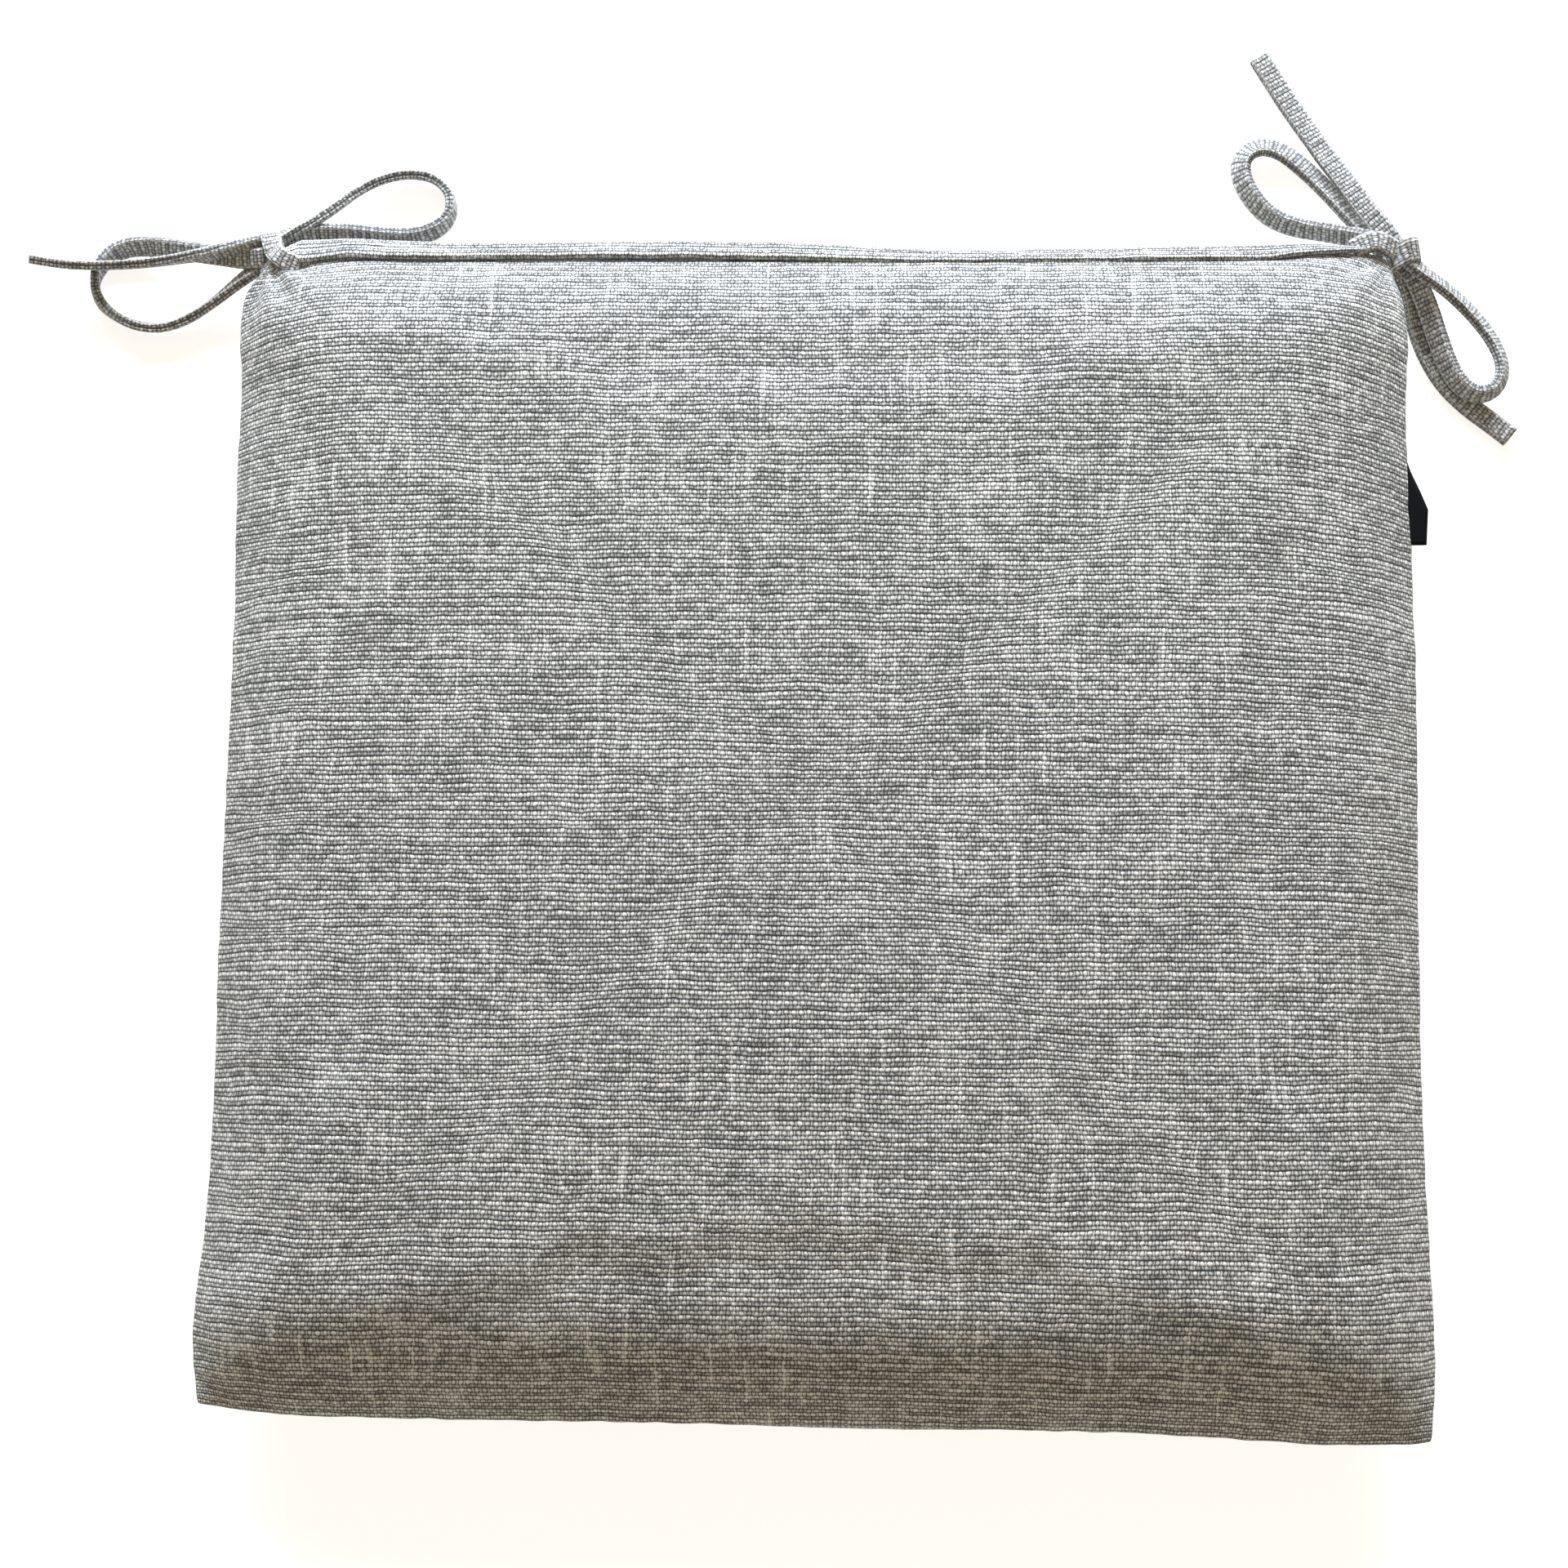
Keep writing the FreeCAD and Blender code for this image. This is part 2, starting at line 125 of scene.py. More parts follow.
def new_material(name, **surface):
    """Material with one Principled shader; surface sets that shader's own sockets."""
    material = bpy.data.materials.new(name)
    material.use_nodes = True
    tree = material.node_tree
    shader = tree.nodes["Principled BSDF"]
    for socket, value in surface.items():
        shader.inputs[socket.replace("_", " ")].default_value = value
    return material, tree, shader


def tint_between(tree, shader, share, dark, light):
    """Colour the shader between two tones, as a texture's share says."""
    tint = add(tree, "ValToRGB", {"Fac": share})
    tint.color_ramp.elements[0].color = to_linear(dark)
    tint.color_ramp.elements[1].color = to_linear(light)
    tree.links.new(tint.outputs["Color"], shader.inputs["Base Color"])


def raise_by(tree, shader, height, strength, depth):
    """Bump the shader by a height, up to a depth in metres."""
    relief = add(tree, "Bump", {"Strength": strength, "Distance": depth, "Height": height})
    tree.links.new(relief.outputs["Normal"], shader.inputs["Normal"])


# %% [markdown]
# ## The woven cloth
# The cover is a coarse plain weave of slubby yarn, in pairs of rows: a bright row of oval beads, a
# dimmer one beside it, and a dark line under the pair. The colour follows the height of the threads,
# so the dimmer row, the dark line and the gaps between beads are painted shade as well as bump. A
# picture of cloth would blur and repeat, so the threads are worked out from the cloth's own UV map,
# in metres, with the rows running across the pad. The same group serves the cover, the flap and the
# tapes, which are cut from one bolt.

# %% Weave group
row_pitch = 0.001467
column_pitch = 0.00117
weave = bpy.data.node_groups.new("plain_weave", "ShaderNodeTree")
weave.interface.new_socket("Cloth", in_out="INPUT", socket_type="NodeSocketVector")
weave.interface.new_socket("Colour", in_out="OUTPUT", socket_type="NodeSocketColor")
weave.interface.new_socket("Height", in_out="OUTPUT", socket_type="NodeSocketFloat")
cloth_in = weave.nodes.new("NodeGroupInput")
cloth_out = weave.nodes.new("NodeGroupOutput")

# %% Threads wander a little
wander = add(weave, "TexNoise", {"Vector": cloth_in.outputs["Cloth"], "Scale": 60.0, "Detail": 1.0})
wander_fine = add(weave, "TexNoise", {"Vector": cloth_in.outputs["Cloth"], "Scale": 420.0,
                                      "Detail": 1.0})
offset = add(weave, "VectorMath", {0: wander.outputs["Color"], 1: (0.5, 0.5, 0.5)},
             operation="SUBTRACT")
offset_fine = add(weave, "VectorMath", {0: wander_fine.outputs["Color"], 1: (0.5, 0.5, 0.5)},
                  operation="SUBTRACT")
moved = add(weave, "VectorMath", {0: offset.outputs[0], 1: (0.0022, 0.0016, 0.0),
                                  2: cloth_in.outputs["Cloth"]}, operation="MULTIPLY_ADD")
moved_fine = add(weave, "VectorMath", {0: offset_fine.outputs[0], 1: (0.0012, 0.0007, 0.0),
                                       2: moved.outputs[0]}, operation="MULTIPLY_ADD")
threads = add(weave, "VectorMath", {0: moved_fine.outputs[0],
                                    1: (1 / column_pitch, 1 / row_pitch, 0.0)},
              operation="MULTIPLY")
across = add(weave, "SeparateXYZ", {0: threads.outputs[0]})

# %% Rows and beads
row = add(weave, "Math", {0: across.outputs["Y"]}, operation="FLOOR").outputs[0]
in_row = add(weave, "Math", {0: across.outputs["Y"]}, operation="FRACT").outputs[0]
shifted = add(weave, "Math", {0: across.outputs["X"], 1: row}, operation="ADD").outputs[0]
beads = add(weave, "Math", {0: shifted, 1: 0.5}, operation="MULTIPLY").outputs[0]
bead = add(weave, "Math", {0: beads}, operation="FLOOR").outputs[0]
in_bead = add(weave, "Math", {0: beads}, operation="FRACT").outputs[0]
half_row = add(weave, "Math", {0: row, 1: 0.5}, operation="MULTIPLY").outputs[0]
parity = add(weave, "Math", {0: half_row}, operation="FRACT").outputs[0]

# %% Random numbers for each bead and each thread
bead_place = add(weave, "CombineXYZ", {0: bead, 1: row})
bead_luck = add(weave, "TexWhiteNoise", {"Vector": bead_place.outputs[0]},
                noise_dimensions="2D").outputs["Value"]
row_slub = add(weave, "VectorMath", {0: threads.outputs[0], 1: (0.035, 0.9, 1.0)},
               operation="MULTIPLY")
row_luck = add(weave, "TexNoise", {"Vector": row_slub.outputs[0], "Scale": 1.0, "Detail": 2.0})
column_slub = add(weave, "VectorMath", {0: threads.outputs[0], 1: (0.55, 0.045, 1.0)},
                  operation="MULTIPLY")
column_luck = add(weave, "TexNoise", {"Vector": column_slub.outputs[0], "Scale": 1.0,
                                      "Detail": 1.0})
cloudy = add(weave, "TexNoise", {"Vector": cloth_in.outputs["Cloth"], "Scale": 28.0,
                                 "Detail": 3.0})

# %% Height of the threads: a dome where the weft lies on top, a narrow one for the warp between
off_row = add(weave, "Math", {0: in_row, 1: 0.5}, operation="SUBTRACT").outputs[0]
off_bead = add(weave, "Math", {0: in_bead, 1: 0.5}, operation="SUBTRACT").outputs[0]
to_link = add(weave, "Math", {0: off_bead}, operation="ABSOLUTE").outputs[0]
to_link = add(weave, "Math", {0: 0.5, 1: to_link}, operation="SUBTRACT").outputs[0]


def dome(across_row, along_row, half_height, half_length):
    """Height of an oval bead from the distances to its middle."""
    high = add(weave, "Math", {0: across_row, 1: 1 / half_height}, operation="MULTIPLY").outputs[0]
    high = add(weave, "Math", {0: high, 1: 2.0}, operation="POWER").outputs[0]
    far = add(weave, "Math", {0: along_row, 1: 1 / half_length}, operation="MULTIPLY").outputs[0]
    far = add(weave, "Math", {0: far, 1: 2.0}, operation="POWER").outputs[0]
    left = add(weave, "Math", {0: high, 1: far}, operation="ADD").outputs[0]
    left = add(weave, "Math", {0: 1.0, 1: left}, operation="SUBTRACT", use_clamp=True).outputs[0]
    return add(weave, "Math", {0: left, 1: 0.55}, operation="POWER").outputs[0]


weft = dome(off_row, off_bead, 0.52, 0.36)
warp = dome(off_row, to_link, 0.60, 0.17)
warp = add(weave, "Math", {0: warp, 1: 0.80}, operation="MULTIPLY").outputs[0]
height = add(weave, "Math", {0: weft, 1: warp}, operation="MAXIMUM").outputs[0]

# %% A dimmer second row, and a dark line between the pairs, which the colour also shows as painted shade
pair = add(weave, "MapRange", {"Value": parity, 1: 0.0, 2: 0.5, 3: 0.70, 4: 1.0}).outputs[0]
edge = add(weave, "Math", {0: in_row, 1: parity}, operation="ADD").outputs[0]
line = add(weave, "MapRange", {"Value": edge, 1: 0.02, 2: 0.40, 3: 0.04, 4: 1.0},
           interpolation_type="SMOOTHSTEP").outputs[0]
height = add(weave, "Math", {0: height, 1: pair}, operation="MULTIPLY").outputs[0]
height = add(weave, "Math", {0: height, 1: line}, operation="MULTIPLY").outputs[0]

# %% How light each thread is: painted shade from its height, plus the random tone of beads, rows and slubs
bead_tone = add(weave, "MapRange", {"Value": bead_luck, 1: 0.0, 2: 1.0, 3: -0.20, 4: 0.16})
row_tone = add(weave, "MapRange", {"Value": row_luck.outputs["Fac"], 1: 0.3, 2: 0.7, 3: -0.13,
                                   4: 0.13})
slub_tone = add(weave, "MapRange", {"Value": column_luck.outputs["Fac"], 1: 0.60, 2: 0.78,
                                    3: 0.0, 4: 0.34})
cloud_tone = add(weave, "MapRange", {"Value": cloudy.outputs["Fac"], 1: 0.3, 2: 0.7, 3: -0.05,
                                     4: 0.05})
# The height of the threads goes into the colour as painted shade: darker in the gaps between beads,
# on the dimmer row and along the dark line.
tone_with_painted_shade = add(weave, "Math", {0: height, 1: bead_tone.outputs[0]}, operation="ADD").outputs[0]
tone_with_painted_shade = add(weave, "Math", {0: tone_with_painted_shade, 1: row_tone.outputs[0]}, operation="ADD").outputs[0]
tone_with_painted_shade = add(weave, "Math", {0: tone_with_painted_shade, 1: slub_tone.outputs[0]}, operation="ADD").outputs[0]
tone_with_painted_shade = add(weave, "Math", {0: tone_with_painted_shade, 1: cloud_tone.outputs[0]}, operation="ADD").outputs[0]
thread_colour = add(weave, "ValToRGB", {"Fac": tone_with_painted_shade})
stops = thread_colour.color_ramp.elements
stops[0].position, stops[0].color = 0.05, to_linear("#4A4C4B")
stops[1].position, stops[1].color = 0.96, to_linear("#EBEDEC")
middle_stop = stops.new(0.5)
middle_stop.color = to_linear("#A5A8A6")
weave.links.new(thread_colour.outputs["Color"], cloth_out.inputs["Colour"])
weave.links.new(height, cloth_out.inputs["Height"])
print("weave nodes:", len(weave.nodes))

# %% Cover fabric: plain-woven polyester and linen mix, matt, each bead throwing its own shade by bump and carrying painted shade in its colour
cover_cloth, tree, shader = new_material("plain_woven_cover_cloth", Roughness=0.92,
                                         Sheen_Weight=0.12, Sheen_Roughness=0.5)
shader.inputs["Specular IOR Level"].default_value = 0.25
cloth_uv = add(tree, "UVMap", uv_map="cloth")
pattern = add(tree, "Group", {}, node_tree=weave)
tree.links.new(cloth_uv.outputs["UV"], pattern.inputs["Cloth"])
tree.links.new(pattern.outputs["Colour"], shader.inputs["Base Color"])
raise_by(tree, shader, pattern.outputs["Height"], 0.8, 0.0004)

# %% Tape fabric: the same cloth folded and top-stitched along both edges, with painted shade in the groove between the plies
stitch_pitch = 0.0027
edge_from_middle = 0.0049
stitch_inset = 0.0019
tie_cloth, tree, shader = new_material("folded_and_stitched_tape_cloth", Roughness=0.92,
                                       Sheen_Weight=0.12, Sheen_Roughness=0.5)
shader.inputs["Specular IOR Level"].default_value = 0.25
cloth_uv = add(tree, "UVMap", uv_map="cloth")
pattern = add(tree, "Group", {}, node_tree=weave)
tree.links.new(cloth_uv.outputs["UV"], pattern.inputs["Cloth"])
place = add(tree, "SeparateXYZ", {0: cloth_uv.outputs["UV"]})
from_middle = add(tree, "Math", {0: place.outputs["X"]}, operation="ABSOLUTE").outputs[0]
to_edge = add(tree, "Math", {0: from_middle, 1: edge_from_middle},
              operation="SUBTRACT").outputs[0]
to_edge = add(tree, "Math", {0: to_edge}, operation="ABSOLUTE").outputs[0]
# Painted shade: a dark line along the groove where the plies meet at the folded edges.
painted_groove_shade = add(tree, "MapRange", {"Value": to_edge, 1: 0.0004, 2: 0.00015, 3: 0.0, 4: 1.0}).outputs[0]
stitch_line = add(tree, "Math", {0: to_edge, 1: stitch_inset}, operation="SUBTRACT").outputs[0]
stitch_line = add(tree, "Math", {0: stitch_line}, operation="ABSOLUTE").outputs[0]
stitch_line = add(tree, "MapRange", {"Value": stitch_line, 1: 0.00045, 2: 0.00015, 3: 0.0,
                                     4: 1.0}).outputs[0]
stitches = add(tree, "Math", {0: place.outputs["Y"], 1: 1 / stitch_pitch}, operation="MULTIPLY")
stitches = add(tree, "Math", {0: stitches.outputs[0]}, operation="FRACT").outputs[0]
stitches = add(tree, "Math", {0: stitches, 1: math.pi}, operation="MULTIPLY").outputs[0]
stitches = add(tree, "Math", {0: stitches}, operation="SINE").outputs[0]
stitch = add(tree, "Math", {0: stitches, 1: stitch_line}, operation="MULTIPLY").outputs[0]
worn = add(tree, "Mix", {"Factor": 0.20, 6: pattern.outputs["Colour"],
                         7: to_linear("#96989A")}, data_type="RGBA")
stitched = add(tree, "Mix", {"Factor": stitch, 6: worn.outputs[2],
                             7: to_linear("#DDDFDE")}, data_type="RGBA")
# The painted shade of the ply groove is mixed into the colour here.
with_painted_groove_shade = add(tree, "Mix", {"Factor": painted_groove_shade, 6: stitched.outputs[2],
                                  7: to_linear("#66696B")}, data_type="RGBA")
tie_height = add(tree, "Math", {0: stitch_line, 1: 0.7}, operation="MULTIPLY").outputs[0]
tie_height = add(tree, "Math", {0: pattern.outputs["Height"], 1: tie_height},
                 operation="SUBTRACT").outputs[0]
tree.links.new(with_painted_groove_shade.outputs[2], shader.inputs["Base Color"])
raise_by(tree, shader, tie_height, 0.8, 0.0004)

# %% [markdown]
# ## A swept strip
# Tapes, knots and the flap are all folded strips: a small outline carried along a line.
# A helper builds such a strip from arrays: the middle of each station, the direction of its width
# and of its thickness. It also lays the cloth's UV map, across the outline and along the strip.

# %% Swept strip helper
def swept_strip(name, middles, wides, thicks, outline, ring=False, rows_along=False):
    """Mesh from stations (n, 3) with directions (n, 3), and an outline of (width, thickness).

    U is the distance round the outline from its first point, both ways, so it is even-handed.
    """
    middles, wides, thicks = np.array(middles), np.array(wides), np.array(thicks)
    outline = np.array(outline)
    count, around = len(middles), len(outline)
    points = (middles[:, None] + wides[:, None] * outline[None, :, :1]
              + thicks[:, None] * outline[None, :, 1:]).reshape(-1, 3)
    section = points.reshape(count, around, 3)[count // 2]
    girth = np.linalg.norm(np.roll(section, -1, axis=0) - section, axis=1)
    u = np.concatenate([[0.0], np.cumsum(girth)])
    length = np.linalg.norm(np.diff(middles, axis=0), axis=1)
    v = np.concatenate([[0.0], np.cumsum(length)])
    faces, uvs = [], []
    for i in range(count if ring else count - 1):
        following = (i + 1) % count
        v_next = v[i + 1] if i + 1 < count else v[i] + np.linalg.norm(middles[0] - middles[i])
        for j in range(around):
            beside = (j + 1) % around
            faces.append((i * around + j, i * around + beside,
                          following * around + beside, following * around + j))
            back = 0.0 if j < around / 2 else u[-1]
            u_near, u_far = u[j] - back, u[j + 1] - back
            uvs += [(u_near, v[i]), (u_far, v[i]), (u_far, v_next), (u_near, v_next)]
    if not ring:
        faces.append(tuple(reversed(range(around))))
        faces.append(tuple((count - 1) * around + j for j in range(around)))
        uvs += [tuple(outline[j]) for j in reversed(range(around))]
        uvs += [tuple(outline[j]) for j in range(around)]
    if rows_along:
        uvs = [(b, a) for a, b in uvs]
    mesh = bpy.data.meshes.new(name)
    mesh.from_pydata(points.tolist(), [], faces)
    layer = mesh.uv_layers.new(name="cloth")
    layer.data.foreach_set("uv", np.array(uvs, dtype=np.float32).ravel())
    piece = bpy.data.objects.new(name, mesh)
    bpy.context.collection.objects.link(piece)
    turn_outwards(piece)
    mesh.shade_smooth()
    return piece


def turn_outwards(piece):
    """Make every face of a closed piece point outwards."""
    bpy.ops.object.select_all(action="DESELECT")
    bpy.context.view_layer.objects.active = piece
    piece.select_set(True)
    bpy.ops.object.mode_set(mode="EDIT")
    bpy.ops.mesh.select_all(action="SELECT")
    bpy.ops.mesh.normals_make_consistent(inside=False)
    bpy.ops.object.mode_set(mode="OBJECT")
    piece.select_set(False)


# %% [markdown]
# ## The four ties
# Each tie is a tape, 7 mm wide and 3 mm thick, folded from four plies and stitched. Stiff in its
# width, it lies on edge in a loop and turns flat where it runs under its own weight. The route is
# the CAD model's, as the control points of a smooth spline, and a lean for each point says how far
# the tape stands on edge there. A bevelled curve would be round, so the tape is swept instead.

# %% Routes, in millimetres from the pad's back corners
left_inner_route = [
    (4.0, -3.0, 13.0), (-4.0, -3.2, 10.6), (-12.5, -1.0, 8.6), (-22.0, 1.0, 7.0),
    (-32.0, 3.0, 5.6), (-42.0, 4.6, 4.4), (-51.0, 4.2, 3.8), (-58.0, -0.3, 3.6),
    (-61.3, -7.8, 3.6), (-59.3, -15.4, 3.6), (-53.0, -21.3, 3.6), (-44.5, -25.2, 3.6),
    (-35.0, -26.0, 3.6), (-25.6, -22.6, 4.0), (-16.5, -17.0, 5.4), (-8.0, -10.5, 7.2),
    (0.5, -4.5, 8.5), (9.5, -1.0, 7.6), (19.0, -2.2, 4.8), (29.5, -6.8, 2.6),
    (41.5, -10.3, 1.8), (54.5, -11.4, 1.5), (67.5, -10.2, 1.5), (79.5, -7.8, 1.5),
]
left_outer_route = [
    (5.0, 1.0, 15.5), (12.0, 5.5, 14.0), (19.0, 10.0, 11.5), (26.0, 16.5, 8.5),
    (33.0, 24.0, 5.8), (41.5, 29.6, 4.2), (51.5, 32.0, 3.7), (61.0, 30.3, 3.6),
    (67.0, 24.0, 3.6), (67.4, 15.6, 3.6), (61.0, 9.8, 3.6), (51.5, 7.6, 4.0),
    (40.5, 7.8, 5.6), (29.0, 8.0, 8.0), (17.5, 6.5, 10.3), (6.0, 3.0, 11.8),
    (-6.0, 0.5, 12.0), (-18.5, -1.4, 11.6), (-32.0, -3.6, 11.2), (-46.0, -5.0, 11.0),
    (-60.0, -5.2, 10.6), (-71.5, -4.2, 9.8), (-81.5, -2.0, 8.8),
]
right_inner_route = [
    (-1.0, -1.0, 14.0), (-8.0, 2.5, 12.5), (-15.5, 5.3, 9.5), (-24.0, 8.2, 6.5),
    (-34.0, 10.6, 4.6), (-42.5, 14.8, 4.0), (-48.5, 21.8, 4.0), (-52.2, 29.5, 4.0),
    (-52.0, 36.8, 4.0), (-46.0, 41.2, 4.0), (-38.5, 39.8, 4.0), (-31.5, 34.3, 4.0),
    (-23.5, 26.3, 4.0), (-15.8, 16.8, 4.5), (-9.5, 7.5, 7.0), (-3.0, -1.5, 9.5),
    (3.0, -9.0, 8.0), (6.6, -17.5, 4.5), (9.0, -27.0, 2.2), (13.0, -37.0, 1.6),
    (18.8, -46.5, 1.5), (26.5, -54.0, 1.5), (33.5, -59.3, 1.5), (39.7, -64.4, 1.5),
]
right_outer_route = [
    (1.0, -4.0, 15.5), (7.5, -9.5, 14.0), (14.5, -13.0, 11.5), (22.0, -18.0, 8.5),
    (29.0, -24.8, 6.6), (34.3, -32.5, 6.0), (37.0, -41.0, 6.0), (34.6, -48.6, 6.0),
    (27.5, -51.2, 6.0), (21.3, -47.0, 6.0), (17.3, -39.2, 6.2), (14.0, -29.5, 6.8),
    (10.6, -19.0, 8.2), (6.0, -9.5, 10.3), (0.3, -1.0, 11.5), (-4.5, 6.5, 12.5),
    (-10.5, 15.0, 11.0), (-15.8, 25.0, 8.6), (-21.8, 34.8, 6.0), (-28.0, 46.0, 4.0),
    (-34.8, 57.5, 2.6), (-40.5, 68.0, 2.0), (-44.9, 75.5, 1.8),
]

# %% How far each tape stands on edge, in degrees, point by point
left_inner_lean = [15, 20, 30, 35, 40, 50, 62, 88, 108, 102, 84, 72, 67, 66, 62, 52, 38, 20, 5,
                   0, 0, 0, 0, 0]
left_outer_lean = [40, 60, 68, 66, 64, 66, 70, 76, 90, 88, 76, 70, 66, 62, 55, 50, 66, 92, 106,
                   111, 112, 112, 112]
right_inner_lean = [60, 66, 68, 66, 62, 56, 48, 42, 36, 30, 28, 26, 26, 28, 30, 30, 25, 20, 12,
                    5, 0, 0, 0, 0]
right_outer_lean = [40, 45, 45, 46, 48, 52, 60, 70, 70, 62, 54, 46, 36, 28, 22, 22, 20, 12, 6,
                    0, 0, 0, 0]
left_corner = Vector((-200, 200, 0))
right_corner = Vector((200, 200, 0))

# %% Outline of the tape: folded edges with a groove between the plies
tie_width, tie_thickness = 0.0070, 0.0033
half_tape = [(0.0, 0.50), (0.16, 0.50), (0.32, 0.50), (0.44, 0.48), (0.49, 0.36), (0.495, 0.16),
             (0.45, 0.0)]
quarter = [(a * tie_width, b * tie_thickness) for a, b in half_tape]
right_half = quarter + [(a, -b) for a, b in reversed(quarter[:-1])]
left_half = [(-a, b) for a, b in reversed(right_half[1:-1])]
tape_outline = right_half + left_half


# %% Tape along a route
def spline_points(name, corner, route):
    """Points along the smooth line that a route's points control, in metres."""
    curve = bpy.data.curves.new(name, "CURVE")
    curve.dimensions = "3D"
    spline = curve.splines.new("NURBS")
    spline.points.add(len(route) - 1)
    for point, offset in zip(spline.points, route):
        point.co = (*((corner + Vector(offset)) / 1000), 1.0)
    spline.order_u = 3
    spline.use_endpoint_u = True
    spline.resolution_u = 10
    line = bpy.data.objects.new(name, curve)
    bpy.context.collection.objects.link(line)
    mesh = bpy.data.meshes.new_from_object(line)
    points = [vertex.co.copy() for vertex in mesh.vertices]
    bpy.data.objects.remove(line)
    return points


def tape_along(name, points, leans, outline):
    """Tape whose width turns from flat (0) to on edge (90) as the leans say."""
    count = len(points)
    wides, thicks = [], []
    for i in range(count):
        way = (points[min(i + 1, count - 1)] - points[max(i - 1, 0)]).normalized()
        side = way.cross(Vector((0, 0, 1))).normalized()
        up = side.cross(way)
        lean = math.radians(np.interp(i / (count - 1) * (len(leans) - 1), range(len(leans)), leans))
        wide = side * math.cos(lean) + up * math.sin(lean)
        wides.append(wide)
        thicks.append(wide.cross(way))
    return swept_strip(name, points, wides, thicks, outline)


# %% [markdown]
# ## Knots and sewn ends
# The middle of each bow is one turn of the same tape, pulled tight over the other strands, so it
# is a soft band with creases rather than a ball. It is swept round the bundle as a closed ring.
# The pair of ties starts as one folded piece that is caught in the corner of the seam.

# %% Band of tape round a bundle
def knot_band(name, corner, middle, axis, reach, width, turns_out):
    """Ring of tape round an axis; reach is its half size beside and above the axis."""
    centre = (corner + Vector(middle)) / 1000
    axis = Vector(axis).normalized()
    beside = axis.cross(Vector((0, 0, 1))).normalized()
    above = beside.cross(axis)
    middles, wides, thicks = [], [], []
    for i in range(40):
        angle = 2 * math.pi * i / 40
        squeeze = 1 + 0.10 * math.sin(2 * angle + 0.7) + 0.05 * math.sin(5 * angle)
        out = beside * math.cos(angle) + above * math.sin(angle)
        place = (beside * math.cos(angle) * reach[0] + above * math.sin(angle) * reach[1]) * squeeze
        place += axis * turns_out * math.sin(angle + 0.5)
        middles.append(centre + place / 1000)
        wides.append(axis + out * 0.22 * math.sin(angle * 2))
        thicks.append(out)
    outline = [(a * width / 7.0, b * 0.95) for a, b in tape_outline]
    return swept_strip(name, middles, wides, thicks, outline, ring=True)


knot_left = knot_band("left_bow_knot", left_corner,
                      (8.5, -3.0, 14.6), (1.0, 0.30, 0.1), (6.6, 5.4), 7.0, 0.8)
knot_right = knot_band("right_bow_knot", right_corner,
                       (1.2, -4.4, 14.0), (-0.30, 0.95, 0.1), (4.0, 4.8), 8.0, 1.2)
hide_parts("knot_left")
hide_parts("knot_right")

# %% Sewn ends in the corner seams
root_left = tape_along("left_sewn_end", spline_points("root_line", left_corner, [
    (19.0, -10.5, 22.6), (14.5, -9.0, 24.2), (10.5, -6.0, 23.0), (8.0, -2.5, 18.0)]), [5, 8, 5, 0],
    tape_outline)
root_right = tape_along("right_sewn_end", spline_points("root_line", right_corner, [
    (-17.0, -3.5, 18.6), (-11.0, 0.0, 20.4), (-5.0, -2.0, 19.4), (0.0, -3.5, 15.0)]), [5, 8, 5, 0],
    tape_outline)
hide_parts("tie_root_left")
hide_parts("tie_root_right")

# %% The ties
ties = {
    "tie_left_inner": (left_corner, left_inner_route, left_inner_lean, knot_left, 0.2312),
    "tie_left_outer": (left_corner, left_outer_route, left_outer_lean, knot_left, 0.2398),
    "tie_right_inner": (right_corner, right_inner_route, right_inner_lean, knot_right, 0.2188),
    "tie_right_outer": (right_corner, right_outer_route, right_outer_lean, knot_right, 0.2170),
}
tie_pieces = []
for name, (corner, route, leans, knot, length) in ties.items():
    line = spline_points(name + "_line", corner, route)
    tie = tape_along(name.replace("tie", "tape"), line, leans, tape_outline)
    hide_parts(name)
    tie_pieces.append(tie)
    print(name, "stations:", len(line))
for piece in tie_pieces + [knot_left, knot_right, root_left, root_right]:
    piece.data.materials.append(tie_cloth)
    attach(piece, "pad")

# %% [markdown]
# ## The cover
# Two square panels are sewn together all round, turned right side out and filled. The face is
# flat in the middle and rolls down to the seam over 46 mm, and it is pressed flat below.
# A lofted grid keeps the threads of the cloth on its lines, which a remeshed blob would lose, so
# the pad starts as two grids that share their seam and is then inflated by a cloth simulation.
# Along the back the grids fold inwards to a narrow pocket that the zip closes.

# %% Lines of the grid, closer together near the seam
half_pad = 200.0
pocket_half = 162.0
gaps = [0.0, 2.0, 4.0, 6.0, 8.0]
step = 2.0
while gaps[-1] < half_pad:
    step = min(step * 1.12, 4.3)
    gaps.append(gaps[-1] + step)
squash_rest = (half_pad - 8.0) / (gaps[-1] - 8.0)
gaps = [gap if gap <= 8.0 else 8.0 + (gap - 8.0) * squash_rest for gap in gaps]
lines = [-half_pad + gap for gap in gaps] + [half_pad - gap for gap in reversed(gaps[:-1])]
print("grid lines each way:", len(lines))


# %% Shape of a face
roll_width = 46.0
roll_fullness = 2.5


def roll(gap):
    """Share of the full height reached at a distance in from the seam."""
    return 1.0 - max(0.0, 1.0 - max(0.0, gap) / roll_width) ** roll_fullness


def smooth(value, low, high):
    """0 below low, 1 above high, eased between."""
    share = min(1.0, max(0.0, (value - low) / (high - low)))
    return share * share * (3 - 2 * share)


